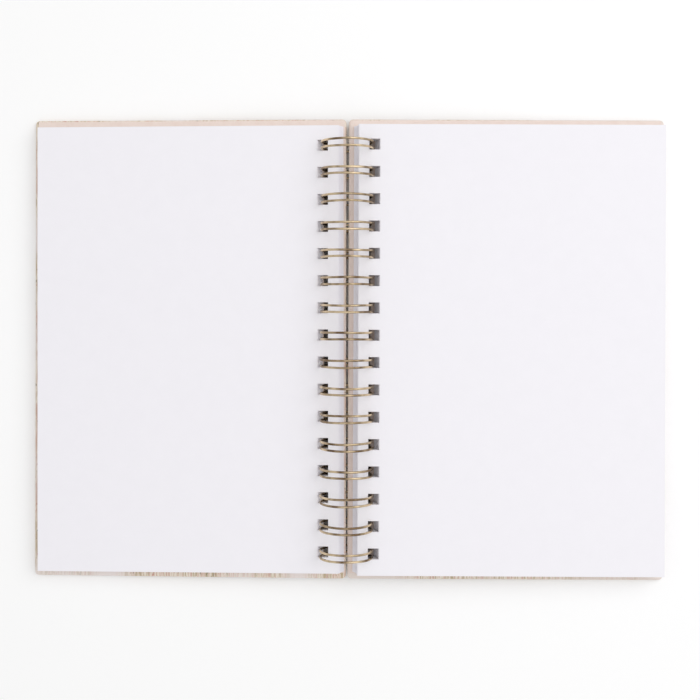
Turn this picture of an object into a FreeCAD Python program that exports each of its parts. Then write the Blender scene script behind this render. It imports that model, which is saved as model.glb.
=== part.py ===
import FreeCAD, Part
import math
import os

# Twin-loop bound hard-cover sketchbook, lying open. Millimetres.
# X runs across the open spread, Y along the spine towards the head of the pages, Z up.
# The origin is on the table, below the middle of the spine.
# Every leaf and cover turns about one line, the axis of the wire loops, and is drawn flat
# at its own distance below it before it is laid open.

# Wire comb
LOOP_PITCH = 12.7
END_MARGIN = 6.0  # least distance from a page's head or tail to the middle of a loop
LOOP_ROOM = 6.4  # how much larger the loops are outside than the closed book is thick
WIRE_DIAMETER = 1.05
LEG_SPACING = 3.05  # between the two wires of one loop
ELBOW_RADIUS = 1.6  # where a loop bends into the base wire
TIP_GAP = 0.4  # left open between a loop's tip and the base wire
END_STUB = 2.5  # cut base wire past the first and last loops
COMB_DROP = 0.3  # the wire has slid this far towards the tail in its holes

# Leaves
LEFT_LEAVES = 18
RIGHT_LEAVES = 32
PAGE_WIDTH = 142.5
PAGE_HEIGHT = 210.0
PAGE_MARGIN = 4.7  # from a leaf's spine edge to its holes
HOLE_ACROSS = 5.25
HOLE_PLAY = 0.5  # along the spine, between a hole's end and a loop in the middle of it
HOLE_ROW_RISE = 0.4  # the row of holes is this much nearer the head of the page
SHEET_THICKNESS = 0.23
SHEET_AIR = 0.03  # between two leaves that lie on each other
LEFT_SLACK = 2.35  # from the inner end of a left leaf's hole to the wire
RIGHT_SLACK = 1.2
LEAF_SCATTER = 0.35  # how unevenly the leaves lie, towards the spine

# Covers
COVER_EXTRA_WIDTH = 6.2  # how much wider a cover is than a page
COVER_OVERHANG = 3.5  # past the head and the tail of the pages
COVER_CORNER = 2.0
BOARD_THICKNESS = 1.8
WRAP_THICKNESS = 0.2
ENDPAPER_THICKNESS = 0.2
TURN_IN = 15.0  # how far the wrap is folded over onto the inner face
HINGE_STRIP = 14.0  # the part of a cover's outer face that the wire stands proud of
SPINE_GAP = 1.3  # between the two covers when the book lies open
COVER_HOLE_PLAY = 0.65  # on each side of the wire, where it slants through a cover
ENDPAPER_HEAD_INSET = 0.6
ENDPAPER_TAIL_INSET = 2.8
ENDPAPER_FORE_INSET = 1.4
ENDPAPER_SPINE_INSET = 0.6

# How the open book lies
CLOSED_SLACK = 0.8  # free space in the closed book
LEFT_COVER_SKEW = 0.15  # degrees turned on the wire, seen from above
LEFT_LEAF_SKEW = 0.28
RIGHT_SKEW = 0.0

LEFT = -1
RIGHT = 1

SHEET_PITCH = SHEET_THICKNESS + SHEET_AIR
COVER_THICKNESS = WRAP_THICKNESS + BOARD_THICKNESS + WRAP_THICKNESS + ENDPAPER_THICKNESS
BLOCK_THICKNESS = (LEFT_LEAVES + RIGHT_LEAVES) * SHEET_PITCH
CLOSED_THICKNESS = 2 * COVER_THICKNESS + BLOCK_THICKNESS + CLOSED_SLACK
COVER_DEPTH = CLOSED_THICKNESS / 2  # from the loops' axis down to a cover's outer face

WIRE_RADIUS = WIRE_DIAMETER / 2
LOOP_OUTER_RADIUS = (CLOSED_THICKNESS + LOOP_ROOM) / 2
LOOP_RADIUS = LOOP_OUTER_RADIUS - WIRE_RADIUS
LOOP_INNER_RADIUS = LOOP_RADIUS - WIRE_RADIUS
AXIS_HEIGHT = LOOP_OUTER_RADIUS  # the loops stand on the table

LOOP_COUNT = math.floor((PAGE_HEIGHT - 2 * END_MARGIN) / LOOP_PITCH) + 1
FIRST_HOLE_Y = HOLE_ROW_RISE - (LOOP_COUNT - 1) * LOOP_PITCH / 2
HOLE_ROWS = [FIRST_HOLE_Y + k * LOOP_PITCH for k in range(LOOP_COUNT)]
LOOP_ROWS = [row - COMB_DROP for row in HOLE_ROWS]
HOLE_ALONG = LEG_SPACING + WIRE_DIAMETER + 2 * HOLE_PLAY

COVER_WIDTH = PAGE_WIDTH + COVER_EXTRA_WIDTH
COVER_HEIGHT = PAGE_HEIGHT + 2 * COVER_OVERHANG

OVERCUT = 1.0  # how far a cutting tool passes the face that it opens

UP = FreeCAD.Vector(0, 0, 1)
ALONG = FreeCAD.Vector(0, 1, 0)
AXIS_POINT = FreeCAD.Vector(0, 0, 0)


def wire_span(low, high):
    """The nearest and furthest that the wire comes, across, between two heights from the axis."""
    furthest_height = max(abs(low), abs(high))
    nearest_height = 0 if low < 0 < high else min(abs(low), abs(high))
    inner = math.sqrt(LOOP_INNER_RADIUS**2 - furthest_height**2)
    outer = math.sqrt(LOOP_OUTER_RADIUS**2 - nearest_height**2)
    return inner, outer


WIRE_IN_COVER = wire_span(-COVER_DEPTH, COVER_THICKNESS - COVER_DEPTH)
COVER_HOLE_START = WIRE_IN_COVER[0] - COVER_HOLE_PLAY
COVER_HOLE_ACROSS = WIRE_IN_COVER[1] - WIRE_IN_COVER[0] + 2 * COVER_HOLE_PLAY
COVER_SPINE_EDGE = SPINE_GAP / 2
COVER_FORE_EDGE = COVER_SPINE_EDGE + COVER_WIDTH


def slab(side, start, end, low_y, high_y, bottom, top):
    """A square-cornered plate: start and end are distances from the axis towards the fore-edge."""
    corner = FreeCAD.Vector(min(side * start, side * end), low_y, bottom)
    return Part.makeBox(abs(end - start), high_y - low_y, top - bottom, corner)


def rounded_plate(side, start, end, low_y, high_y, bottom, top, radius):
    """A plate whose corners are rounded in plan."""
    plate = slab(side, start, end, low_y, high_y, bottom, top)
    uprights = [
        edge
        for edge in plate.Edges
        if abs(edge.tangentAt(edge.FirstParameter).z) > 0.5
    ]
    return plate.makeFillet(radius, uprights)


def punches(side, start, across, bottom, top):
    """The square tools that punch a row of holes, from below bottom to above top."""
    tools = [
        slab(
            side,
            start,
            start + across,
            row - HOLE_ALONG / 2,
            row + HOLE_ALONG / 2,
            bottom - OVERCUT,
            top + OVERCUT,
        )
        for row in HOLE_ROWS
    ]
    return Part.makeCompound(tools)


def cover_tilt(skew):
    """The angle, in degrees, that brings a cover's fore-edge down to the table."""
    turned = math.radians(skew)
    straight = COVER_FORE_EDGE - COVER_CORNER
    half_height = COVER_HEIGHT / 2 - COVER_CORNER
    reach = straight * math.cos(turned) + half_height * math.sin(turned) + COVER_CORNER
    drop = math.asin(AXIS_HEIGHT / math.hypot(reach, COVER_DEPTH))
    return math.degrees(drop - math.atan2(COVER_DEPTH, reach))


def lay_open(shape, side, skew):
    """Turns a flat piece on the wire, leans it as its cover leans and lifts it to the axis height."""
    cover_skew = LEFT_COVER_SKEW if side == LEFT else RIGHT_SKEW
    laid = shape.copy()
    laid.rotate(AXIS_POINT, UP, -side * skew)
    laid.rotate(AXIS_POINT, ALONG, side * cover_tilt(cover_skew))
    laid.translate(FreeCAD.Vector(0, 0, AXIS_HEIGHT))
    return laid


def cover_board(side):
    """Grey board, inside the wrap on all four edges."""
    low = WRAP_THICKNESS - COVER_DEPTH
    high = low + BOARD_THICKNESS
    half_height = COVER_HEIGHT / 2 - WRAP_THICKNESS
    board = rounded_plate(
        side,
        COVER_SPINE_EDGE + WRAP_THICKNESS,
        COVER_FORE_EDGE - WRAP_THICKNESS,
        -half_height,
        half_height,
        low,
        high,
        COVER_CORNER - WRAP_THICKNESS,
    )
    return board.cut(punches(side, COVER_HOLE_START, COVER_HOLE_ACROSS, low, high))


def turned_in_window(side, bottom, top):
    """The middle of the inner face, which the folded-over wrap leaves free."""
    return slab(
        side,
        COVER_SPINE_EDGE + TURN_IN,
        COVER_FORE_EDGE - TURN_IN,
        TURN_IN - COVER_HEIGHT / 2,
        COVER_HEIGHT / 2 - TURN_IN,
        bottom,
        top,
    )


def cover_wrap(side):
    """Printed paper over the outer face and the edges, folded over onto the inner face."""
    low = -COVER_DEPTH
    board_low = low + WRAP_THICKNESS
    board_high = board_low + BOARD_THICKNESS
    high = board_high + WRAP_THICKNESS
    outside = rounded_plate(
        side,
        COVER_SPINE_EDGE,
        COVER_FORE_EDGE,
        -COVER_HEIGHT / 2,
        COVER_HEIGHT / 2,
        low,
        high,
        COVER_CORNER,
    )
    strip_end = COVER_SPINE_EDGE + HINGE_STRIP
    strip = outside.common(
        slab(side, 0, strip_end, -COVER_HEIGHT, COVER_HEIGHT, low - OVERCUT, high + OVERCUT)
    )
    panel = outside.cut(strip)
    half_height = COVER_HEIGHT / 2 - WRAP_THICKNESS
    inside = rounded_plate(
        side,
        COVER_SPINE_EDGE + WRAP_THICKNESS,
        COVER_FORE_EDGE - WRAP_THICKNESS,
        -half_height,
        half_height,
        board_low,
        board_high,
        COVER_CORNER - WRAP_THICKNESS,
    )
    window = turned_in_window(side, board_high, high + OVERCUT)
    holes = punches(side, COVER_HOLE_START, COVER_HOLE_ACROSS, low, high)
    return strip.fuse(panel).cut([inside, window, holes])


def endpaper(side):
    """The lining of the inner face. It reaches down to the board inside the folded-over wrap."""
    high = COVER_THICKNESS - COVER_DEPTH
    low = high - ENDPAPER_THICKNESS
    sheet = slab(
        side,
        COVER_SPINE_EDGE + ENDPAPER_SPINE_INSET,
        COVER_FORE_EDGE - ENDPAPER_FORE_INSET,
        ENDPAPER_TAIL_INSET - COVER_HEIGHT / 2,
        COVER_HEIGHT / 2 - ENDPAPER_HEAD_INSET,
        low,
        high,
    )
    lining = sheet.fuse(turned_in_window(side, low - WRAP_THICKNESS, low))
    holes = punches(side, COVER_HOLE_START, COVER_HOLE_ACROSS, low - WRAP_THICKNESS, high)
    return lining.cut(holes).removeSplitter()


def leaf_scatter(number):
    """How far one leaf lies towards the spine from the line of the stack."""
    golden_turn = math.pi * (3 - math.sqrt(5))
    return LEAF_SCATTER * (1 - math.cos(number * golden_turn)) / 2


def leaf(side, place, scatter):
    """A drawing leaf. place counts the leaves that lie between it and its cover."""
    low = COVER_THICKNESS - COVER_DEPTH + SHEET_AIR + place * SHEET_PITCH
    high = low + SHEET_THICKNESS
    slack = LEFT_SLACK if side == LEFT else RIGHT_SLACK
    hole_start = wire_span(low, high)[0] - slack - scatter
    spine_edge = hole_start - PAGE_MARGIN
    sheet = slab(
        side,
        spine_edge,
        spine_edge + PAGE_WIDTH,
        -PAGE_HEIGHT / 2,
        PAGE_HEIGHT / 2,
        low,
        high,
    )
    return sheet.cut(punches(side, hole_start, HOLE_ACROSS, low, high))


def outwards_at(angle):
    """The direction outwards from the axis at an angle round the loops.

    The angle is in radians from the lowest point, clockwise for someone who looks along +Y.
    """
    return FreeCAD.Vector(-math.sin(angle), 0, -math.cos(angle))


def round_bar(centre, start, normal, bend_radius, degrees):
    """Wire bent round centre, from the direction start and right-handed about normal."""
    section = Part.Face(
        Part.Wire(Part.makeCircle(WIRE_RADIUS, centre + start * bend_radius, normal.cross(start)))
    )
    return section.revolve(centre, normal, degrees)


def wire_loop(row):
    """One loop: two elbows off the base wire, two round legs and the tip that joins them."""
    half_spacing = LEG_SPACING / 2
    tip_reach = ELBOW_RADIUS + WIRE_DIAMETER + TIP_GAP + half_spacing
    tip_angle = tip_reach / LOOP_RADIUS
    sweep = math.degrees(2 * math.pi - tip_angle)
    down = outwards_at(0)
    pieces = []
    for way in (-1, 1):
        leg = FreeCAD.Vector(0, row + way * half_spacing, 0)
        pieces.append(round_bar(leg, down, ALONG, LOOP_RADIUS, sweep))
        elbow_centre = leg + down * LOOP_RADIUS + ALONG * (way * ELBOW_RADIUS)
        elbow_axis = UP if way > 0 else UP * -1
        pieces.append(round_bar(elbow_centre, ALONG * -way, elbow_axis, ELBOW_RADIUS, 90))
    tip_outwards = outwards_at(2 * math.pi - tip_angle)
    tip_centre = ALONG * row + tip_outwards * LOOP_RADIUS
    pieces.append(round_bar(tip_centre, ALONG * -1, tip_outwards, half_spacing, 180))
    return pieces


def base_wire(low_y, high_y):
    """A straight stretch of wire between two loops, below the gap between the covers."""
    foot = FreeCAD.Vector(ELBOW_RADIUS, low_y, -LOOP_RADIUS)
    return Part.makeCylinder(WIRE_RADIUS, high_y - low_y, foot, ALONG)


def twin_loop_wire():
    """The whole comb of wire as one piece."""
    reach = LEG_SPACING / 2 + ELBOW_RADIUS
    ends = [LOOP_ROWS[0] - reach - END_STUB]
    for row in LOOP_ROWS:
        ends += [row - reach, row + reach]
    ends.append(LOOP_ROWS[-1] + reach + END_STUB)
    pieces = [base_wire(low_y, high_y) for low_y, high_y in zip(ends[0::2], ends[1::2])]
    for row in LOOP_ROWS:
        pieces += wire_loop(row)
    comb = pieces[0].fuse(pieces[1:])
    comb.translate(FreeCAD.Vector(0, 0, AXIS_HEIGHT))
    return comb


def single_solid(shape):
    """The one solid that a piece must be."""
    if len(shape.Solids) != 1:
        raise ValueError(f"a piece came out as {len(shape.Solids)} solids")
    return shape.Solids[0]


def all_pieces():
    """Every separate piece by name."""
    pieces = {"twin_loop_wire": twin_loop_wire()}
    for side, name, skew in ((LEFT, "front", LEFT_COVER_SKEW), (RIGHT, "back", RIGHT_SKEW)):
        pieces[f"{name}_cover_board"] = lay_open(cover_board(side), side, skew)
        pieces[f"{name}_cover_wrap"] = lay_open(cover_wrap(side), side, skew)
        pieces[f"{name}_endpaper"] = lay_open(endpaper(side), side, skew)
    for place in range(LEFT_LEAVES):
        scatter = leaf_scatter(LEFT_LEAVES - 1 - place)
        sheet = leaf(LEFT, place, scatter)
        pieces[f"leaf_{place + 1:02d}"] = lay_open(sheet, LEFT, LEFT_LEAF_SKEW)
    for place in range(RIGHT_LEAVES):
        scatter = leaf_scatter(RIGHT_LEAVES - 1 - place)
        sheet = leaf(RIGHT, place, scatter)
        number = LEFT_LEAVES + RIGHT_LEAVES - place
        pieces[f"leaf_{number:02d}"] = lay_open(sheet, RIGHT, RIGHT_SKEW)
    return pieces


os.makedirs("parts", exist_ok=True)
for name, shape in all_pieces().items():
    single_solid(shape).exportStep(f"parts/{name}.step")
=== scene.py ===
"""A twin-loop bound, hard-cover sketchbook lying open: the looks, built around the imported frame.

Everything is in metres in the part's own frame: X across the open spread, +Y along the spine towards
the head of the pages, Z up, with the origin on the table below the middle of the spine.
Sizes are named in millimetres and turned into metres when a piece is laid in its place.
"""

import logging
import math
from collections.abc import Mapping, Sequence
from dataclasses import dataclass
from enum import Enum

import bpy
import numpy as np
from mathutils import Euler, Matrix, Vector


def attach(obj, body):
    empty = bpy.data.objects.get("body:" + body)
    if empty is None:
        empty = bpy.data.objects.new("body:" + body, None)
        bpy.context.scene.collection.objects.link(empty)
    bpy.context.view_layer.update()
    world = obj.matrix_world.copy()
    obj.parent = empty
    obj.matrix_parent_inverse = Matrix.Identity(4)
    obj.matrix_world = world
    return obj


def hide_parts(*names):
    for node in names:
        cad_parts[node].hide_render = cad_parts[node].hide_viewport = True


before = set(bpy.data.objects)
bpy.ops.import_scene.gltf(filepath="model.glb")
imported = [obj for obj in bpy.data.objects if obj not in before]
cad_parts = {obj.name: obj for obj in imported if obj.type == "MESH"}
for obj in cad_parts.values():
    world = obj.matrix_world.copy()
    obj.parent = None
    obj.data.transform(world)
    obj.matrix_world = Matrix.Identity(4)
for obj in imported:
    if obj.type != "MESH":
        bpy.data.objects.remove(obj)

MM = 0.001
NEAR = 1e-3  # mm, how close two heights or distances count as the same
LOG = logging.getLogger("sketchbook")


class Side(Enum):
    """The two halves of the open book, by the way that they lie from the spine."""

    LEFT = -1
    RIGHT = 1


class CoverName(Enum):
    """The covers' names, as a reader who starts at the front of the book gives them."""

    LEFT = "front"
    RIGHT = "back"


# ---------------------------------------------------------------- the book's measures


@dataclass(frozen=True)
class Binding:
    """The measures, in millimetres, that the wire, the covers and the leaves share."""

    loop_count: int = 16
    loop_pitch: float = 12.7
    loop_outer_radius: float = 12.5
    wire_diameter: float = 1.05
    leg_spacing: float = 3.05
    elbow_radius: float = 1.6
    tip_gap: float = 0.4
    end_stub: float = 2.5
    hole_row_rise: float = 0.4
    hole_play: float = 0.5
    comb_drop: float = 0.3
    cover_depth: float = 9.3
    board: float = 1.8
    wrap: float = 0.2
    endpaper: float = 0.2
    cover_width: float = 148.7
    cover_height: float = 217.0
    cover_corner: float = 2.0
    spine_gap: float = 1.3

    @property
    def wire_radius(self) -> float:
        """Half the wire's diameter."""
        return self.wire_diameter / 2

    @property
    def loop_radius(self) -> float:
        """From the loops' axis to the middle of the wire."""
        return self.loop_outer_radius - self.wire_radius

    @property
    def cover_thickness(self) -> float:
        """Board, the wrap on both its faces and the endpaper."""
        return self.board + 2 * self.wrap + self.endpaper

    @property
    def spine_edge(self) -> float:
        """From the axis to a cover's edge at the spine."""
        return self.spine_gap / 2

    @property
    def fore_edge(self) -> float:
        """From the axis to a cover's fore-edge."""
        return self.spine_edge + self.cover_width

    @property
    def hole_along(self) -> float:
        """A hole's length along the spine: the pair of wires and the play on each side."""
        return self.leg_spacing + self.wire_diameter + 2 * self.hole_play

    def hole_rows(self) -> np.ndarray:
        """The middles of the holes along the spine, one pitch apart and centred on the risen row."""
        steps = np.arange(self.loop_count) - (self.loop_count - 1) / 2
        return self.hole_row_rise + steps * self.loop_pitch

    def loop_rows(self) -> np.ndarray:
        """The middles of the loops, which have slid towards the tail in the holes."""
        return self.hole_rows() - self.comb_drop

    def wire_span(self, low: float, high: float) -> tuple[float, float]:
        """How near to the axis and how far from it the round wire comes, across, in a layer.

        Across, a circle of radius r stands at the root of r squared minus height squared.

        Args:
            low: the layer's lower height from the axis.
            high: its upper height.

        Returns:
            The nearest and the furthest distance from the axis.
        """
        furthest = max(abs(low), abs(high))
        nearest = 0.0 if low < 0 < high else min(abs(low), abs(high))
        inner = self.loop_outer_radius - self.wire_diameter
        return (
            math.sqrt(inner**2 - furthest**2),
            math.sqrt(self.loop_outer_radius**2 - nearest**2),
        )


@dataclass(frozen=True)
class Half:
    """One half of the open book, which is built flat below the axis and then laid open."""

    side: Side
    binding: Binding
    cover_skew: float  # degrees that the cover has turned on the wire, seen from above
    leaf_skew: float  # the same for the leaves

    @property
    def tilt(self) -> float:
        """The angle, in radians, that brings the cover's fore-edge down to the table."""
        book = self.binding
        turned = math.radians(self.cover_skew)
        straight = book.fore_edge - book.cover_corner
        half_height = book.cover_height / 2 - book.cover_corner
        reach = straight * math.cos(turned) + half_height * math.sin(turned) + book.cover_corner
        drop = math.asin(book.loop_outer_radius / math.hypot(reach, book.cover_depth))
        return drop - math.atan2(book.cover_depth, reach)

    def lay_open(self, flat: np.ndarray, skew: float) -> np.ndarray:
        """Turns flat places into the frame's places.

        A point is turned by the skew about the upright, then by the tilt about the axis of the loops,
        and is lifted by the height of that axis.

        Args:
            flat: rows of (out from the axis, along the spine, up from the axis), in millimetres.
            skew: degrees that the piece has turned on the wire.

        Returns:
            Rows of (x, y, z) in metres.
        """
        sign = self.side.value
        out, along, up = sign * flat[:, 0], flat[:, 1], flat[:, 2]
        turn = math.radians(-sign * skew)
        x = out * math.cos(turn) - along * math.sin(turn)
        y = out * math.sin(turn) + along * math.cos(turn)
        lean = sign * self.tilt
        leaned_x = x * math.cos(lean) + up * math.sin(lean)
        leaned_z = up * math.cos(lean) - x * math.sin(lean) + self.binding.loop_outer_radius
        return np.column_stack([leaned_x, y, leaned_z]) * MM


# ---------------------------------------------------------------- surfaces


def make_piece(name: str, places: np.ndarray, faces: np.ndarray, sharp: float = 35.0) -> bpy.types.Object:
    """Puts a worked-out surface into a mesh object at the origin.

    Args:
        name: the piece's name.
        places: rows of x, y and z in metres.
        faces: rows of four corner numbers, counter-clockwise from outside.
        sharp: edges that turn by more than this many degrees stay crisp.

    Returns:
        The new object, in the scene.
    """
    mesh = bpy.data.meshes.new(name)
    mesh.from_pydata(places.tolist(), [], faces.tolist())
    mesh.polygons.foreach_set("use_smooth", np.ones(len(faces), dtype=bool))
    mesh.set_sharp_from_angle(angle=math.radians(sharp))
    mesh.validate()
    piece = bpy.data.objects.new(name, mesh)
    bpy.context.scene.collection.objects.link(piece)
    return piece


def merged_lines(*groups: Sequence[float] | np.ndarray) -> np.ndarray:
    """Merges groups of grid lines into one rising row, without doubles."""
    return np.unique(np.round(np.concatenate([np.atleast_1d(group) for group in groups]), 4))


def middles(lines: np.ndarray) -> np.ndarray:
    """The middles between neighbouring grid lines."""
    return (lines[1:] + lines[:-1]) / 2


@dataclass
class CellSolid:
    """A solid made of the full cells of a box grid, as sheets and boards with punched holes are."""

    out: np.ndarray
    along: np.ndarray
    up: np.ndarray
    full: np.ndarray

    @classmethod
    def block(cls, out: np.ndarray, along: np.ndarray, up: np.ndarray) -> "CellSolid":
        """A grid whose cells are all full.

        Args:
            out: grid lines away from the axis.
            along: grid lines along the spine.
            up: grid lines upwards.

        Returns:
            The solid block.
        """
        shape = (len(out) - 1, len(along) - 1, len(up) - 1)
        return cls(out, along, up, np.ones(shape, dtype=bool))

    def clear(self, out: np.ndarray, along: np.ndarray, up: np.ndarray | None = None) -> None:
        """Empties the cells that are marked in every direction.

        Args:
            out: marks of the cells away from the axis.
            along: marks of the cells along the spine.
            up: marks of the layers, or None for them all.
        """
        layers = np.ones(len(self.up) - 1, dtype=bool) if up is None else up
        self.full[np.ix_(out, along, layers)] = False

    def surface(self) -> tuple[np.ndarray, np.ndarray]:
        """The closed surface between the full cells and the empty ones.

        Across each grid line, a face stands where a cell is full and its neighbour isn't. It faces the
        empty cell, and its corners are the four grid points round it.

        Returns:
            The grid points in use, and rows of four corner numbers.
        """
        padded = np.pad(self.full, 1)
        shape = (len(self.out), len(self.along), len(self.up))
        steps = np.eye(3, dtype=int)
        rows = []
        for axis in range(3):
            inner = [slice(1, -1)] * 3
            before, after = list(inner), list(inner)
            before[axis], after[axis] = slice(0, -1), slice(1, None)
            filled, beyond = padded[tuple(before)], padded[tuple(after)]
            first, second = steps[(axis + 1) % 3], steps[(axis + 2) % 3]
            for marks, ring in (
                (filled & ~beyond, (0 * first, first, first + second, second)),
                (beyond & ~filled, (0 * first, second, first + second, first)),
            ):
                corner = np.argwhere(marks)
                places = [np.ravel_multi_index((corner + step).T, shape) for step in ring]
                rows.append(np.column_stack(places))
        faces = np.concatenate(rows)
        used, numbers = np.unique(faces, return_inverse=True)
        grid = np.unravel_index(used, shape)
        points = np.column_stack([self.out[grid[0]], self.along[grid[1]], self.up[grid[2]]])
        return points, numbers.reshape(faces.shape)


def square_to_disc(across: np.ndarray, beside: np.ndarray) -> tuple[np.ndarray, np.ndarray]:
    """Moves the points of a unit square onto a quarter disc.

    Each coordinate is multiplied by the root of one minus half the other one's square.
    """
    return across * np.sqrt(1 - beside**2 / 2), beside * np.sqrt(1 - across**2 / 2)


@dataclass(frozen=True)
class SoftRim:
    """Rounds the rim and the four corners of a flat plate that fills a box, in millimetres."""

    low: tuple[float, float, float]
    high: tuple[float, float, float]
    rim_radius: float
    corner_radius: float

    def inset(self, points: np.ndarray, axis: int) -> np.ndarray:
        """How far points are inside the nearer of the box's two faces across an axis."""
        return np.minimum(points[:, axis] - self.low[axis], self.high[axis] - points[:, axis])

    def replaced(self, points: np.ndarray, axis: int, inset: np.ndarray) -> np.ndarray:
        """The coordinate across an axis that gives points another inset."""
        nearer_low = points[:, axis] - self.low[axis] <= self.high[axis] - points[:, axis]
        return np.where(nearer_low, self.low[axis] + inset, self.high[axis] - inset)

    def soften(self, points: np.ndarray) -> np.ndarray:
        """Bends the square rim round an arc, then the square corners.

        Near the rim, the insets from the edge and from the face are moved from a square onto a quarter
        disc, and what lies between the rim and the corner's centre is spread evenly. Near a corner, the
        insets from its two edges are moved the same way.

        Args:
            points: rows of (out, along, up) inside the box.

        Returns:
            The moved rows.
        """
        moved = points.copy()
        rim, corner = self.rim_radius, self.corner_radius
        out, along, up = (self.inset(points, axis) for axis in range(3))
        edge = np.minimum(out, along)
        near = (edge < rim) & (up < rim)
        past_edge = np.where(near, 1 - edge / rim, 0.0)
        past_face = np.where(near, 1 - up / rim, 0.0)
        past_edge, past_face = square_to_disc(past_edge, past_face)
        new_edge = np.where(near, rim * (1 - past_edge), edge)
        up = np.where(near, rim * (1 - past_face), up)
        spread = (corner - new_edge) / np.maximum(corner - edge, 1e-9)
        out = np.where(near & (out < corner), new_edge + (out - edge) * spread, out)
        along = np.where(near & (along < corner), new_edge + (along - edge) * spread, along)

        cornered = (out < corner) & (along < corner)
        past_out = np.where(cornered, 1 - out / corner, 0.0)
        past_along = np.where(cornered, 1 - along / corner, 0.0)
        past_out, past_along = square_to_disc(past_out, past_along)
        out = np.where(cornered, corner * (1 - past_out), out)
        along = np.where(cornered, corner * (1 - past_along), along)
        for axis, inset in enumerate((out, along, up)):
            moved[:, axis] = self.replaced(points, axis, inset)
        return moved


def tube(
    path: np.ndarray, travel: np.ndarray, outwards: np.ndarray, radius: np.ndarray, sides: int
) -> tuple[np.ndarray, np.ndarray]:
    """Carries a circle along a path and joins the rings, with a face over each end.

    A ring's point is the path's point plus radius times cosine of the angle outwards plus radius times
    sine of it along the cross product of travel and outwards.

    Args:
        path: rows of x, y and z.
        travel: the unit direction along the path at each row.
        outwards: a unit direction square to it.
        radius: the circle's radius at each row.
        sides: points round the circle, an even number.

    Returns:
        The points, and rows of four corner numbers.
    """
    angle = np.arange(sides) * 2 * math.pi / sides
    beside = np.cross(travel, outwards)
    ring = (
        np.cos(angle)[None, :, None] * outwards[:, None, :]
        + np.sin(angle)[None, :, None] * beside[:, None, :]
    )
    points = path[:, None, :] + radius[:, None, None] * ring
    count = len(path)
    number = np.arange(count * sides).reshape(count, sides)
    following = np.roll(number, -1, axis=1)
    walls = np.stack([number[:-1], following[:-1], following[1:], number[1:]], axis=-1)
    step = np.arange(sides // 2 - 1)
    across = np.column_stack([step, step + 1, sides - 2 - step, sides - 1 - step])
    faces = np.concatenate([walls.reshape(-1, 4)[:, ::-1], number[0][across], number[-1][across][:, ::-1]])
    return points.reshape(-1, 3), faces


# ---------------------------------------------------------------- finishes


def linear(colour: str, alpha: float = 1.0) -> tuple[float, float, float, float]:
    """Turns an sRGB colour such as "#f0e8e0" into linear light.

    Args:
        colour: six hexadecimal digits after a hash.
        alpha: the opacity.

    Returns:
        Red, green, blue and alpha.
    """
    parts = [int(colour[k : k + 2], 16) / 255 for k in (1, 3, 5)]
    light = [c / 12.92 if c <= 0.04045 else ((c + 0.055) / 1.055) ** 2.4 for c in parts]
    return (light[0], light[1], light[2], alpha)


def add_node(
    tree: bpy.types.NodeTree,
    kind: str,
    settings: Mapping[str, object] | None = None,
    values: Mapping[str | int, object] | None = None,
    links: Mapping[str | int, bpy.types.NodeSocket] | None = None,
) -> bpy.types.Node:
    """Adds a node with its settings and links.

    Args:
        tree: the material's or the world's nodes.
        kind: the node's type, without the words ShaderNode in front.
        settings: the node's own options.
        values: constants for its inputs, by name or number.
        links: other nodes' outputs, by the input that each feeds.

    Returns:
        The node.
    """
    node = tree.nodes.new("ShaderNode" + kind)
    for name, value in (settings or {}).items():
        setattr(node, name, value)
    for name, value in (values or {}).items():
        node.inputs[name].default_value = value
    for name, source in (links or {}).items():
        tree.links.new(source, node.inputs[name])
    return node


def per_mm(size: float) -> float:
    """The texture scale that gives a pattern features of a size in millimetres."""
    return 1 / (size * MM)


def new_material(name: str) -> tuple[bpy.types.Material, bpy.types.NodeTree, bpy.types.Node]:
    """Makes a node material.

    Args:
        name: the real material and how it was made.

    Returns:
        The material, its nodes and its shader.
    """
    material = bpy.data.materials.new(name)
    material.use_nodes = True
    tree = material.node_tree
    return material, tree, tree.nodes["Principled BSDF"]


def mixed(
    tree: bpy.types.NodeTree,
    factor: bpy.types.NodeSocket,
    low: bpy.types.NodeSocket | str,
    high: bpy.types.NodeSocket | str,
) -> bpy.types.NodeSocket:
    """Mixes two colours, each a node's output or an sRGB colour.

    Args:
        tree: the material's nodes.
        factor: 0 for the low colour and 1 for the high one.
        low: the first colour.
        high: the second colour.

    Returns:
        The colour output.
    """
    links = {0: factor}
    values = {}
    for number, colour in ((6, low), (7, high)):
        if isinstance(colour, str):
            values[number] = linear(colour)
        else:
            links[number] = colour
    node = add_node(tree, "Mix", {"data_type": "RGBA"}, values, links)
    return node.outputs[2]


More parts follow.
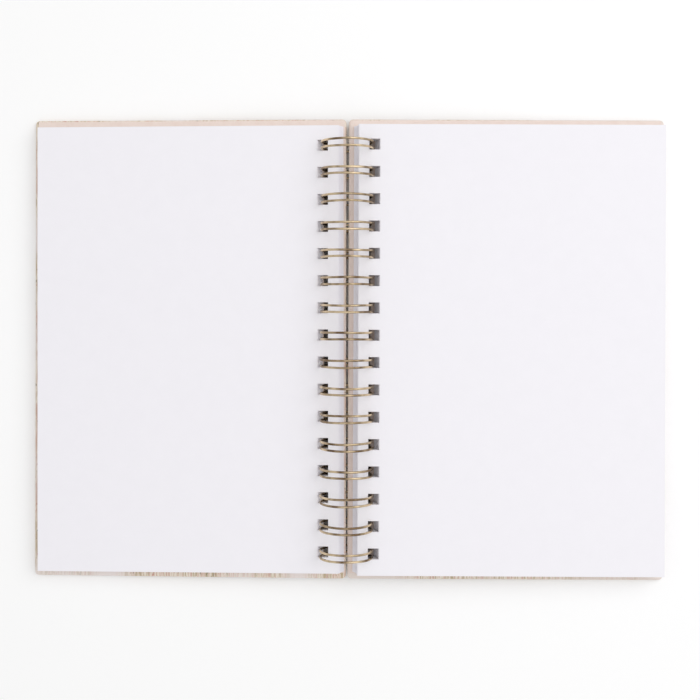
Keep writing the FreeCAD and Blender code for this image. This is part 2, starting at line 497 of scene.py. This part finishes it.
@dataclass(frozen=True)
class Paper:
    """Uncoated paper: smooth to the eye, with a faint cloudiness and a felt of fine fibres."""

    name: str
    light: str
    shade: str
    roughness: float
    cloud_size: float  # mm, the pulp's uneven look-through
    fibre_size: float  # mm, drawn coarser than real fibres so that it shows
    fibre_height: float  # mm

    def material(self) -> bpy.types.Material:
        """Mixes two close tones by the cloudiness, and lifts the fibres as a fine bump."""
        material, tree, shader = new_material(self.name)
        place = add_node(tree, "TexCoord").outputs["Object"]
        cloud = add_node(
            tree, "TexNoise", {},
            {"Scale": per_mm(self.cloud_size), "Detail": 5.0, "Roughness": 0.6}, {"Vector": place},
        )
        fibre = add_node(
            tree, "TexNoise", {},
            {"Scale": per_mm(self.fibre_size), "Detail": 3.0, "Distortion": 1.5}, {"Vector": place},
        )
        clouded = add_node(tree, "Math", {"operation": "MULTIPLY"}, {1: 0.55}, {0: cloud.outputs["Fac"]})
        blend = add_node(
            tree, "Math", {"operation": "MULTIPLY_ADD"}, {1: 0.45},
            {0: fibre.outputs["Fac"], 2: clouded.outputs[0]},
        )
        spread = add_node(
            tree, "MapRange", {}, {"From Min": 0.35, "From Max": 0.65}, {"Value": blend.outputs[0]}
        )
        tree.links.new(mixed(tree, spread.outputs[0], self.light, self.shade), shader.inputs["Base Color"])
        rough = add_node(
            tree, "MapRange", {}, {"To Min": self.roughness - 0.06, "To Max": self.roughness + 0.06},
            {"Value": fibre.outputs["Fac"]},
        )
        tree.links.new(rough.outputs[0], shader.inputs["Roughness"])
        bump = add_node(
            tree, "Bump", {},
            {"Strength": 0.6, "Distance": self.fibre_height * MM}, {"Height": fibre.outputs["Fac"]},
        )
        tree.links.new(bump.outputs[0], shader.inputs["Normal"])
        shader.inputs["Specular IOR Level"].default_value = 0.25
        return material


@dataclass(frozen=True)
class GrainPrint:
    """Covering paper printed with pale wood grain in patches, under a thin matt film.

    The film gives the eye a soft even gleam; the print gives streaks of cream, tan and rust along the
    spine's direction, with a few short dark dashes among them.
    """

    name: str
    ground: str
    patch_size: float  # mm, the grained patches
    patch_share: float  # how much of the ground the patches cover, from 0 to 1
    patch_fade: float = 0.09  # how softly a patch ends, on the cloud's own scale
    streak_width: float = 0.9  # mm
    streak_length: float = 14.0  # mm
    dash_width: float = 1.1  # mm
    dash_length: float = 3.2  # mm
    dash_share: float = 1.0  # how strongly the dashes show, from 0 to 1

    def streaks(
        self, tree: bpy.types.NodeTree, place: bpy.types.NodeSocket, width: float, length: float
    ) -> bpy.types.NodeSocket:
        """Noise that is drawn out along the spine.

        Args:
            tree: the material's nodes.
            place: the object coordinates.
            width: a streak's width in millimetres.
            length: its length in millimetres.

        Returns:
            The noise, from 0 to 1.
        """
        scale = (per_mm(width), per_mm(length), per_mm(width))
        drawn = add_node(tree, "Mapping", {}, {"Scale": scale}, {"Vector": place})
        noise = add_node(
            tree, "TexNoise", {},
            {"Scale": 1.0, "Detail": 2.0, "Distortion": 0.4}, {"Vector": drawn.outputs[0]},
        )
        return noise.outputs["Fac"]

    def material(self) -> bpy.types.Material:
        """Grain and dashes inside soft-edged patches of the ground."""
        material, tree, shader = new_material(self.name)
        place = add_node(tree, "TexCoord").outputs["Object"]
        streak = self.streaks(tree, place, self.streak_width, self.streak_length)
        tan = add_node(tree, "MapRange", {}, {"From Min": 0.50, "From Max": 0.38}, {"Value": streak})
        blush = add_node(tree, "MapRange", {}, {"From Min": 0.50, "From Max": 0.64}, {"Value": streak})
        grain = mixed(tree, tan.outputs[0], "#f0e7d8", "#c2ae90")
        grain = mixed(tree, blush.outputs[0], grain, "#d3b3a2")
        dash = self.streaks(tree, place, self.dash_width, self.dash_length)
        dark = add_node(
            tree, "MapRange", {},
            {"From Min": 0.66, "From Max": 0.70, "To Max": self.dash_share}, {"Value": dash},
        )
        rust = add_node(
            tree, "MapRange", {},
            {"From Min": 0.36, "From Max": 0.31, "To Max": self.dash_share}, {"Value": dash},
        )
        marked = mixed(tree, dark.outputs[0], grain, "#6a6248")
        marked = mixed(tree, rust.outputs[0], marked, "#c08476")
        cloud = add_node(
            tree, "TexNoise", {}, {"Scale": per_mm(self.patch_size), "Detail": 1.5}, {"Vector": place}
        )
        edge = 0.5 + (0.5 - self.patch_share) * 0.4
        patch = add_node(
            tree, "MapRange", {},
            {"From Min": edge - self.patch_fade, "From Max": edge + self.patch_fade},
            {"Value": cloud.outputs["Fac"]},
        )
        colour = mixed(tree, patch.outputs[0], self.ground, marked)
        tree.links.new(colour, shader.inputs["Base Color"])
        fine = add_node(tree, "TexNoise", {}, {"Scale": per_mm(0.5), "Detail": 2.0}, {"Vector": place})
        bump = add_node(
            tree, "Bump", {}, {"Strength": 0.4, "Distance": 0.02 * MM}, {"Height": fine.outputs["Fac"]}
        )
        tree.links.new(bump.outputs[0], shader.inputs["Normal"])
        shader.inputs["Roughness"].default_value = 0.5
        shader.inputs["Coat Weight"].default_value = 0.15
        shader.inputs["Coat Roughness"].default_value = 0.35
        return material


@dataclass(frozen=True)
class PlatedWire:
    """Drawn steel wire with an antique brass plating: a warm satin metal whose colour mixes a painted
    highlight tone and a painted shade tone in random patches, which also stand for plating dulled in places.
    """

    name: str = "antique_brass_plated_drawn_wire"
    # the bright tone is a painted highlight colour of the brass; the dull tone is a painted shade colour
    # that also stands for tarnished plating
    bright: str = "#e0cba8"
    painted_shade_and_tarnish: str = "#79634b"
    tarnish_size: float = 7.0  # mm, the random patches of painted highlight, painted shade and tarnish
    scratch_width: float = 0.08  # mm, the drawing die's lines, coarser than real ones so that they show
    scratch_length: float = 9.0  # mm

    def material(self) -> bpy.types.Material:
        """Tone follows random patches that mix a painted highlight colour and a painted shade colour, partly
        standing for tarnish; roughness follows the same patches, and the die's lines run along the wire.
        """
        material, tree, shader = new_material(self.name)
        coords = add_node(tree, "TexCoord")
        tarnish_and_painted_shade = add_node(
            tree, "TexNoise", {}, {"Scale": per_mm(self.tarnish_size), "Detail": 4.0},
            {"Vector": coords.outputs["Object"]},
        )
        spread = add_node(
            tree, "MapRange", {}, {"From Min": 0.38, "From Max": 0.66}, {"Value": tarnish_and_painted_shade.outputs["Fac"]}
        )
        # base colour: painted highlight and painted shade tones, mixed by the random tarnish patches
        tree.links.new(mixed(tree, spread.outputs[0], self.bright, self.painted_shade_and_tarnish), shader.inputs["Base Color"])
        scale = (per_mm(self.scratch_length), per_mm(self.scratch_width), 1.0)
        drawn = add_node(tree, "Mapping", {}, {"Scale": scale}, {"Vector": coords.outputs["UV"]})
        lines = add_node(
            tree, "TexNoise", {"noise_dimensions": "2D"},
            {"Scale": 1.0, "Detail": 2.0}, {"Vector": drawn.outputs[0]},
        )
        rough = add_node(
            tree, "MapRange", {}, {"To Min": 0.22, "To Max": 0.40}, {"Value": tarnish_and_painted_shade.outputs["Fac"]}
        )
        tree.links.new(rough.outputs[0], shader.inputs["Roughness"])
        bump = add_node(
            tree, "Bump", {}, {"Strength": 0.5, "Distance": 0.006 * MM}, {"Height": lines.outputs["Fac"]}
        )
        tree.links.new(bump.outputs[0], shader.inputs["Normal"])
        shader.inputs["Metallic"].default_value = 1.0
        return material


@dataclass(frozen=True)
class Finishes:
    """The book's materials, made once and shared by its pieces."""

    drawing_paper: bpy.types.Material
    lining: bpy.types.Material
    front_print: bpy.types.Material
    back_print: bpy.types.Material
    greyboard: bpy.types.Material
    wire: bpy.types.Material

    @classmethod
    def make(cls) -> "Finishes":
        """Makes every finish.

        Returns:
            The set of materials.
        """
        # Smooth cartridge paper: bright and faintly cool, with no gloss.
        drawing = Paper("smooth_calendered_drawing_paper", "#f5f3f8", "#f3f1f6", 0.8, 7.0, 0.5, 0.012)
        # Dyed lining paper: pink-beige, a little rougher than the leaves.
        lining = Paper("dyed_uncoated_lining_paper", "#eedfd6", "#e8d6cc", 0.85, 5.0, 0.6, 0.03)
        # Grey board: pressed waste paper, seen only where the holes cut through it.
        board = Paper("pressed_grey_binders_board", "#9c948a", "#766e65", 0.95, 2.0, 0.35, 0.08)
        # Printed covers under a matt film: streaked patches in front, fainter and without dashes behind.
        front = GrainPrint("grain_printed_matt_film_paper", "#ece2de", 34.0, 0.60, dash_share=0.75)
        back = GrainPrint("pale_grain_printed_matt_film_paper", "#e6dad2", 40.0, 0.35, dash_share=0.0)
        return cls(
            drawing_paper=drawing.material(),
            lining=lining.material(),
            front_print=front.material(),
            back_print=back.material(),
            greyboard=board.material(),
            wire=PlatedWire().material(),
        )


# ---------------------------------------------------------------- the wire


@dataclass(frozen=True)
class WirePath:
    """The middle line of a wire, in millimetres from the loops' axis."""

    place: np.ndarray
    travel: np.ndarray
    outwards: np.ndarray

    @staticmethod
    def joined(parts: Sequence["WirePath"]) -> "WirePath":
        """Joins stretches of wire end to end."""
        return WirePath(
            np.concatenate([part.place for part in parts]),
            np.concatenate([part.travel for part in parts]),
            np.concatenate([part.outwards for part in parts]),
        )


@dataclass
class WireComb:
    """The one long wire: a straight base between loops, and at each loop two round legs and a tip."""

    binding: Binding
    sides: int = 14
    elbow_steps: int = 7
    leg_steps: int = 60
    tip_steps: int = 13
    sway: float = 0.22  # mm, how far a leg leans along the spine above the leaves
    sway_start: float = 105.0  # degrees up round the loop from the bottom, past the last leaf
    cut_bevel: float = 0.12  # mm, the worn edge of the cut ends

    def level(self, place: np.ndarray, travel: np.ndarray) -> WirePath:
        """A stretch in the base wire's level, where outwards is straight down."""
        down = np.tile([0.0, 0.0, -1.0], (len(place), 1))
        return WirePath(place, travel, down)

    def elbow(self, way: int) -> WirePath:
        """The quarter bend between the base wire and a leg.

        Its centre is one elbow radius beyond the leg along the spine, and its points stand round that
        centre on the cosine and the sine of an angle from 0 to 90 degrees.

        Args:
            way: -1 for the leg nearer the tail, where the wire leaves the base, and 1 for its return.

        Returns:
            The stretch of wire, for a loop in the middle of the spine.
        """
        book = self.binding
        angle = np.linspace(0, math.pi / 2, self.elbow_steps)
        angle = angle if way < 0 else angle[::-1]
        centre = way * (book.leg_spacing / 2 + book.elbow_radius)
        x = book.elbow_radius * np.cos(angle)
        y = centre - way * book.elbow_radius * np.sin(angle)
        place = np.column_stack([x, y, np.full_like(x, -book.loop_radius)])
        travel = np.column_stack([way * np.sin(angle), np.cos(angle), np.zeros_like(x)])
        return self.level(place, travel)

    @property
    def tip_angle(self) -> float:
        """Where the legs end, short of a full turn, so that the tip stays clear of the base wire."""
        book = self.binding
        reach = book.elbow_radius + book.wire_diameter + book.tip_gap + book.leg_spacing / 2
        return 2 * math.pi - reach / book.loop_radius

    def leg(self, way: int) -> WirePath:
        """A round leg, from the bottom of the loop over its top to the tip, or back.

        At an angle round the loop, outwards is minus its sine across and minus its cosine up.

        Args:
            way: -1 for the leg that runs out to the tip and 1 for the one that returns.

        Returns:
            The stretch of wire, for a loop in the middle of the spine.
        """
        book = self.binding
        angle = np.linspace(0, self.tip_angle, self.leg_steps)
        angle = angle if way < 0 else angle[::-1]
        nothing = np.zeros_like(angle)
        outwards = np.column_stack([-np.sin(angle), nothing, -np.cos(angle)])
        travel = way * np.column_stack([np.cos(angle), nothing, -np.sin(angle)])
        place = outwards * book.loop_radius
        place[:, 1] = way * book.leg_spacing / 2
        return WirePath(place, travel, outwards)

    def tip(self) -> WirePath:
        """The half circle that joins the two legs, flat against the loop's own roundness."""
        book = self.binding
        angle = np.linspace(0, math.pi, self.tip_steps)[1:-1]
        end = self.tip_angle
        outwards = np.array([-math.sin(end), 0.0, -math.cos(end)])
        onwards = np.array([-math.cos(end), 0.0, math.sin(end)])
        along = np.array([0.0, 1.0, 0.0])
        turn = -np.cos(angle)[:, None] * along + np.sin(angle)[:, None] * onwards
        place = outwards * book.loop_radius + book.leg_spacing / 2 * turn
        travel = np.sin(angle)[:, None] * along + np.cos(angle)[:, None] * onwards
        return WirePath(place, travel, np.tile(outwards, (len(angle), 1)))

    def one_loop(self) -> WirePath:
        """Elbow, leg, tip, leg and elbow of a loop in the middle of the spine."""
        stretches = [self.elbow(-1), self.leg(-1), self.tip(), self.leg(1), self.elbow(1)]
        return WirePath.joined(stretches)

    def swayed(self, place: np.ndarray) -> np.ndarray:
        """How far the legs lean along the spine at each point of every loop.

        Above the leaves the lean grows and falls as the squared sine of the height round the loop, and
        from loop to loop it follows a sine whose steps never fall in line.

        Args:
            place: one loop's points.

        Returns:
            An array of loops by points, in millimetres.
        """
        round_angle = np.degrees(np.arctan2(-place[:, 0], -place[:, 2])) % 360
        share = (round_angle - self.sway_start) / (360 - 2 * self.sway_start)
        window = np.where((share > 0) & (share < 1), np.sin(np.clip(share, 0, 1) * math.pi) ** 2, 0.0)
        golden_turn = math.pi * (3 - math.sqrt(5))
        loop = np.arange(self.binding.loop_count)[:, None]
        leg = np.where(place[:, 1] > 0, 1.1, 0.0)[None, :]
        return self.sway * window[None, :] * np.sin(loop * golden_turn + leg + 2.2 * share[None, :])

    def whole_path(self) -> tuple[WirePath, np.ndarray]:
        """The middle line of the whole comb, with the wire's radius along it.

        Returns:
            The path and a radius for each of its points.
        """
        book = self.binding
        loop = self.one_loop()
        rows = book.loop_rows()
        place = np.repeat(loop.place[None, :, :], len(rows), axis=0)
        place[:, :, 1] += rows[:, None] + self.swayed(loop.place)
        many = WirePath(
            place.reshape(-1, 3),
            np.tile(loop.travel, (len(rows), 1)),
            np.tile(loop.outwards, (len(rows), 1)),
        )
        along = np.tile([0.0, 1.0, 0.0], (3, 1))
        bevel = np.array([0.0, 0.0, self.cut_bevel])
        start, end = many.place[0], many.place[-1]
        first, last = np.tile(start, (3, 1)), np.tile(end, (3, 1))
        first[:, 1] += bevel - book.end_stub
        last[:, 1] += book.end_stub - bevel[::-1]
        path = WirePath.joined([self.level(first, along), many, self.level(last, along)])
        radius = np.full(len(path.place), book.wire_radius)
        radius[:2] = radius[-2:][::-1] = (0.02 * book.wire_radius, book.wire_radius - self.cut_bevel)
        return path, radius

    def build(self, finishes: Finishes) -> bpy.types.Object:
        """Makes the comb, with a map of its length and its girth for the die's lines.

        Args:
            finishes: the book's materials.

        Returns:
            The wire.
        """
        path, radius = self.whole_path()
        points, faces = tube(path.place, path.travel, path.outwards, radius, self.sides)
        points[:, 2] += self.binding.loop_outer_radius
        piece = make_piece("twin_loop_wire_comb", points * MM, faces, sharp=50.0)
        step = np.linalg.norm(np.diff(path.place, axis=0), axis=1)
        length = np.concatenate([[0.0], np.cumsum(step)])
        girth = np.arange(self.sides) / self.sides * 2 * math.pi * self.binding.wire_radius
        corner = np.empty(len(piece.data.loops), dtype=np.int64)
        piece.data.loops.foreach_get("vertex_index", corner)
        chart = piece.data.uv_layers.new(name="UVMap")
        flat = np.column_stack([length[corner // self.sides], girth[corner % self.sides]]) * MM
        chart.data.foreach_set("uv", flat.ravel())
        piece.data.materials.append(finishes.wire)
        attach(piece, "wire_spine")
        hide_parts("twin_loop_wire")
        return piece


# ---------------------------------------------------------------- covers


@dataclass
class Cover:
    """A hard cover: grey board, the printed paper round it and the endpaper on its inner face."""

    half: Half
    turn_in: float = 15.0
    hole_play: float = 0.65
    rim_radius: float = 0.55
    rim_lines: int = 4  # grid lines on each part of the rim's arc
    endpaper_head: float = 0.6
    endpaper_tail: float = 2.8
    endpaper_fore: float = 1.4
    endpaper_spine: float = 0.6
    sink: float = 0.12  # mm that the endpaper sinks inside the turned-in wrap
    sink_slope: float = 1.6  # mm over which it sinks

    @property
    def name(self) -> str:
        """front or back."""
        return CoverName[self.half.side.name].value

    @property
    def low(self) -> float:
        """The height of the outer face from the axis."""
        return -self.half.binding.cover_depth

    @property
    def wrap_top(self) -> float:
        """The height of the turned-in wrap's face from the axis."""
        book = self.half.binding
        return self.low + 2 * book.wrap + book.board

    @property
    def holes(self) -> tuple[float, float]:
        """Where a hole starts and ends, out from the axis: the wire's reach and the play beside it."""
        book = self.half.binding
        nearest, furthest = book.wire_span(self.low, self.low + book.cover_thickness)
        return nearest - self.hole_play, furthest + self.hole_play

    def soft_rim(self) -> SoftRim:
        """The rounding that the board and the wrap share."""
        book = self.half.binding
        half_height = book.cover_height / 2
        return SoftRim(
            (book.spine_edge, -half_height, self.low),
            (book.fore_edge, half_height, self.wrap_top),
            self.rim_radius,
            book.cover_corner,
        )

    def rim_steps(self) -> np.ndarray:
        """Insets of the grid lines that follow the rim's arc, the wrap's thickness among them."""
        rim, wrap = self.rim_radius, self.half.binding.wrap
        arc = np.concatenate([np.linspace(0, wrap, self.rim_lines), np.linspace(wrap, rim, self.rim_lines)])
        return merged_lines(arc)

    def plan_lines(self) -> tuple[np.ndarray, np.ndarray]:
        """Grid lines out from the axis and along the spine, dense at the rim, corners and folds."""
        book = self.half.binding
        corner = np.linspace(self.rim_radius, book.cover_corner, 5)
        inner = [self.turn_in - self.sink_slope / 2, self.turn_in]
        fold = self.turn_in + np.linspace(0, self.sink_slope, 4)
        insets = merged_lines(self.rim_steps(), corner, inner, fold)
        half_height = book.cover_height / 2
        start, end = self.holes
        rows, reach = book.hole_rows(), book.hole_along / 2
        out = merged_lines(book.spine_edge + insets, book.fore_edge - insets, [start, end])
        along = merged_lines(insets - half_height, half_height - insets, rows - reach, rows + reach)
        return out, along

    def punch(self, solid: CellSolid) -> None:
        """Empties the cells of the square holes.

        Args:
            solid: the board or a sheet.
        """
        book = self.half.binding
        start, end = self.holes
        out, along = middles(solid.out), middles(solid.along)
        off_row = np.abs(along[:, None] - book.hole_rows()[None, :]).min(axis=1)
        solid.clear((out > start) & (out < end), off_row < book.hole_along / 2)

    def inside(self, solid: CellSolid, inset: float) -> tuple[np.ndarray, np.ndarray]:
        """Marks of the cells that are further in from every edge than an inset.

        Args:
            solid: the grid.
            inset: the distance from the cover's edges.

        Returns:
            The marks out from the axis and along the spine.
        """
        book = self.half.binding
        out, along = middles(solid.out), middles(solid.along)
        across = np.minimum(out - book.spine_edge, book.fore_edge - out) > inset
        return across, book.cover_height / 2 - np.abs(along) > inset

    def finished(self, part: str, node: str, points: np.ndarray, faces: np.ndarray,
                 material: bpy.types.Material) -> bpy.types.Object:
        """Lays a piece of the cover open, dresses it and hands it to its body.

        Args:
            part: the piece's own name after front or back.
            node: the frame's node that it stands for, after front or back.
            points: its flat points.
            faces: its faces.
            material: its finish.

        Returns:
            The piece.
        """
        if self.half.side is Side.LEFT:
            faces = faces[:, ::-1]
        piece = make_piece(f"{self.name}_{part}", self.half.lay_open(points, self.half.cover_skew), faces)
        piece.data.materials.append(material)
        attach(piece, f"{self.name}_cover")
        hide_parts(f"{self.name}_{node}")
        return piece

    def board(self, finishes: Finishes) -> bpy.types.Object:
        """The grey board, which shows only in the walls of the holes."""
        book = self.half.binding
        out, along = self.plan_lines()
        half_height = book.cover_height / 2 - book.wrap
        out = out[(out > book.spine_edge + book.wrap - NEAR) & (out < book.fore_edge - book.wrap + NEAR)]
        along = along[np.abs(along) < half_height + NEAR]
        steps = self.rim_steps()
        steps = steps[steps > book.wrap - NEAR]
        up = merged_lines(self.low + steps, self.wrap_top - steps)
        solid = CellSolid.block(out, along, up)
        self.punch(solid)
        points, faces = solid.surface()
        points = self.soft_rim().soften(points)
        return self.finished("greyboard", "cover_board", points, faces, finishes.greyboard)

    def wrap(self, finishes: Finishes) -> bpy.types.Object:
        """The printed paper: a skin over the outer face and the rim, turned in on the inner face."""
        book = self.half.binding
        out, along = self.plan_lines()
        steps = self.rim_steps()
        up = merged_lines(self.low + steps, self.wrap_top - steps)
        solid = CellSolid.block(out, along, up)
        height = middles(up)
        core = (height > self.low + book.wrap) & (height < self.wrap_top - book.wrap)
        top = height > self.wrap_top - book.wrap
        solid.clear(*self.inside(solid, book.wrap), core)
        solid.clear(*self.inside(solid, self.turn_in), top)
        self.punch(solid)
        points, faces = solid.surface()
        points = self.soft_rim().soften(points)
        material = finishes.front_print if self.half.side is Side.LEFT else finishes.back_print
        return self.finished("printed_wrap", "cover_wrap", points, faces, material)

    def lining(self, finishes: Finishes) -> bpy.types.Object:
        """The endpaper, which fills the window inside the turned-in wrap and sinks a little there.

        Inside the window its top is lower by the sink times a smooth step of the inset from the fold.
        """
        book = self.half.binding
        half_height = book.cover_height / 2
        out, along = self.plan_lines()
        first, last = book.spine_edge + self.endpaper_spine, book.fore_edge - self.endpaper_fore
        tail, head = self.endpaper_tail - half_height, half_height - self.endpaper_head
        out = merged_lines(out[(out > first) & (out < last)], [first, last])
        along = merged_lines(along[(along > tail) & (along < head)], [tail, head])
        top = self.wrap_top + book.endpaper
        up = np.array([self.wrap_top - book.wrap, self.wrap_top, top])
        solid = CellSolid.block(out, along, up)
        window = self.inside(solid, self.turn_in)
        kept = np.zeros(solid.full.shape[:2], dtype=bool)
        kept[np.ix_(*window)] = True
        solid.full[:, :, 0] = kept
        self.punch(solid)
        points, faces = solid.surface()
        inset = np.minimum(
            np.minimum(points[:, 0] - book.spine_edge, book.fore_edge - points[:, 0]),
            half_height - np.abs(points[:, 1]),
        )
        share = np.clip((inset - self.turn_in) / self.sink_slope, 0, 1)
        sunk = self.sink * share**2 * (3 - 2 * share)
        points[:, 2] -= np.where(points[:, 2] > top - NEAR, sunk, 0.0)
        return self.finished("lining", "endpaper", points, faces, finishes.lining)

    def build(self, finishes: Finishes) -> list[bpy.types.Object]:
        """Makes the board, the wrap and the endpaper."""
        return [self.board(finishes), self.wrap(finishes), self.lining(finishes)]


# ---------------------------------------------------------------- leaves


@dataclass
class LeafBlock:
    """The drawing leaves that lie on one cover, each a sheet of its own."""

    half: Half
    count: int
    slack: float  # mm from the inner end of a hole to the wire
    last_number: int  # the number of the leaf that lies on the cover, counted from the front
    number_step: int  # 1 or -1, how the numbers run from the cover to the top leaf
    page_width: float = 142.5
    page_height: float = 210.0
    margin: float = 4.7
    hole_across: float = 5.25
    across_lines: int = 14  # grid lines from the holes to the fore-edge
    thickness: float = 0.23
    air: float = 0.03
    scatter: float = 0.35
    lift: float = 0.3  # mm that the top leaf stands up towards its fore-edge
    cockle: float = 0.3  # the share of the lift that comes and goes along the page
    cockle_length: float = 95.0  # mm

    def rise(self, out: np.ndarray, along: np.ndarray, place: int) -> np.ndarray:
        """How far a leaf stands above the flat stack.

        It is the lift times the leaf's place in the stack, times the squared sine of a quarter turn
        across the page, times a slow wave along it, so that no two leaves cross.

        Args:
            out: distances from the leaf's spine edge.
            along: distances along the spine.
            place: how many leaves lie between this one and the cover.

        Returns:
            The rise in millimetres.
        """
        across = np.sin(np.clip(out / self.page_width, 0, 1) * math.pi / 2) ** 2
        phase = 2 * math.pi * along / self.cockle_length + self.half.side.value
        wave = 1 - self.cockle / 2 + self.cockle / 2 * np.sin(phase)
        return self.lift * place / max(self.count - 1, 1) * across * wave

    def leaf(self, place: int, finishes: Finishes) -> bpy.types.Object:
        """Makes one leaf.

        Args:
            place: how many leaves lie between it and the cover.
            finishes: the book's materials.

        Returns:
            The leaf.
        """
        book = self.half.binding
        low = book.cover_thickness - book.cover_depth + self.air + place * (self.thickness + self.air)
        high = low + self.thickness
        golden_turn = math.pi * (3 - math.sqrt(5))
        uneven = self.scatter * (1 - math.cos((self.count - 1 - place) * golden_turn)) / 2
        hole = book.wire_span(low, high)[0] - self.slack - uneven
        edge = hole - self.margin
        rows, reach = book.hole_rows(), book.hole_along / 2
        half_height = self.page_height / 2
        past_hole = hole + self.hole_across
        out = merged_lines([edge, hole], np.linspace(past_hole, edge + self.page_width, self.across_lines))
        along = merged_lines([-half_height, half_height], rows - reach, rows + reach)
        solid = CellSolid.block(out, along, np.array([low, high]))
        off_row = np.abs(middles(along)[:, None] - rows[None, :]).min(axis=1)
        cell = middles(out)
        solid.clear((cell > hole) & (cell < past_hole), off_row < reach)
        points, faces = solid.surface()
        points[:, 2] += self.rise(points[:, 0] - edge, points[:, 1], place)
        if self.half.side is Side.LEFT:
            faces = faces[:, ::-1]
        node = f"leaf_{self.last_number + self.number_step * place:02d}"
        piece = make_piece(f"drawing_{node}", self.half.lay_open(points, self.half.leaf_skew), faces)
        piece.data.materials.append(finishes.drawing_paper)
        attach(piece, node)
        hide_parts(node)
        return piece

    def build(self, finishes: Finishes) -> list[bpy.types.Object]:
        """Makes the leaves from the cover upwards."""
        return [self.leaf(place, finishes) for place in range(self.count)]


# ---------------------------------------------------------------- studio


@dataclass
class Studio:
    """A pale table, soft light from above and the camera over the book."""

    floor_size: float = 60.0  # m
    floor_colour: str = "#ffffff"
    horizon: float = 0.42  # brightness of the room at eye height
    zenith: float = 0.88  # brightness of the room overhead
    key_power: float = 6.6  # W
    key_size: float = 1.3  # m
    key_place: tuple[float, float, float] = (0.85, 0.45, 1.05)  # m
    camera_place: tuple[float, float, float] = (13.726, 21.757, 540.0)  # mm
    camera_turn: tuple[float, float, float] = (0.148, 1.333, 0.231)  # degrees about X, Y and Z
    lens: float = 58.235  # mm on a sensor 36 mm wide
    rise_shift: float = -0.0714  # share of the frame's width

    def floor(self) -> bpy.types.Object:
        """A plain pale table top."""
        reach = self.floor_size / 2
        mesh = bpy.data.meshes.new("table_top")
        mesh.from_pydata(
            [(-reach, -reach, 0), (reach, -reach, 0), (reach, reach, 0), (-reach, reach, 0)],
            [],
            [(0, 1, 2, 3)],
        )
        floor = bpy.data.objects.new("table_top", mesh)
        bpy.context.scene.collection.objects.link(floor)
        material, _, shader = new_material("matt_white_table_top")
        shader.inputs["Base Color"].default_value = linear(self.floor_colour)
        shader.inputs["Roughness"].default_value = 0.9
        mesh.materials.append(material)
        return floor

    def room(self) -> None:
        """Light from all round, brightest overhead, and plain white where the camera sees past the floor."""
        world = bpy.data.worlds.new("studio")
        world.use_nodes = True
        tree = world.node_tree
        direction = add_node(tree, "TexCoord").outputs["Generated"]
        height = add_node(tree, "SeparateXYZ", links={0: direction}).outputs[2]
        bright = add_node(
            tree, "MapRange", {},
            {"From Min": 0.0, "From Max": 0.8, "To Min": self.horizon, "To Max": self.zenith},
            {"Value": height},
        )
        background = tree.nodes["Background"]
        background.inputs["Color"].default_value = (1, 1, 1, 1)
        seen = add_node(tree, "LightPath").outputs["Is Camera Ray"]
        strength = add_node(tree, "Math", {"operation": "MAXIMUM"}, {}, {0: bright.outputs[0], 1: seen})
        tree.links.new(strength.outputs[0], background.inputs["Strength"])
        bpy.context.scene.world = world

    def key_light(self) -> bpy.types.Object:
        """A large soft lamp beyond the back cover's head corner, turned to the spine."""
        data = bpy.data.lights.new("softbox", "AREA")
        data.shape = "DISK"
        data.size = self.key_size
        data.energy = self.key_power
        lamp = bpy.data.objects.new("softbox", data)
        lamp.location = self.key_place
        lamp.rotation_euler = (-Vector(self.key_place)).to_track_quat("-Z", "Y").to_euler()
        bpy.context.scene.collection.objects.link(lamp)
        return lamp

    def camera(self) -> bpy.types.Object:
        """The camera, which looks almost straight down from above the spine."""
        data = bpy.data.cameras.new("camera")
        data.sensor_width = 36.0
        data.lens = self.lens
        data.shift_y = self.rise_shift
        data.clip_start = 0.01
        camera = bpy.data.objects.new("camera", data)
        camera.location = Vector(self.camera_place) * MM
        camera.rotation_euler = Euler([math.radians(turn) for turn in self.camera_turn])
        bpy.context.scene.collection.objects.link(camera)
        bpy.context.scene.camera = camera
        return camera

    def build(self) -> None:
        """Sets the room up."""
        bpy.context.scene.view_settings.view_transform = "Standard"
        self.floor()
        self.room()
        self.key_light()
        self.camera()


# ---------------------------------------------------------------- the book


def report(pieces: Sequence[bpy.types.Object]) -> None:
    """Logs each finished piece with its number of faces."""
    for piece in pieces:
        LOG.info("%s: %d faces", piece.name, len(piece.data.polygons))


def main() -> None:
    """Builds the book's sub-assemblies in order, then the studio."""
    logging.basicConfig(level=logging.INFO, format="%(name)s %(message)s")
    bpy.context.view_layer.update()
    binding = Binding()
    left = Half(Side.LEFT, binding, cover_skew=0.15, leaf_skew=0.28)
    right = Half(Side.RIGHT, binding, cover_skew=0.0, leaf_skew=0.0)
    finishes = Finishes.make()
    report([WireComb(binding).build(finishes)])
    for half in (left, right):
        report(Cover(half).build(finishes))
    report(LeafBlock(left, 18, slack=2.35, last_number=1, number_step=1).build(finishes))
    report(LeafBlock(right, 32, slack=1.2, last_number=50, number_step=-1).build(finishes))
    Studio().build()


if __name__ == "__main__":
    main()
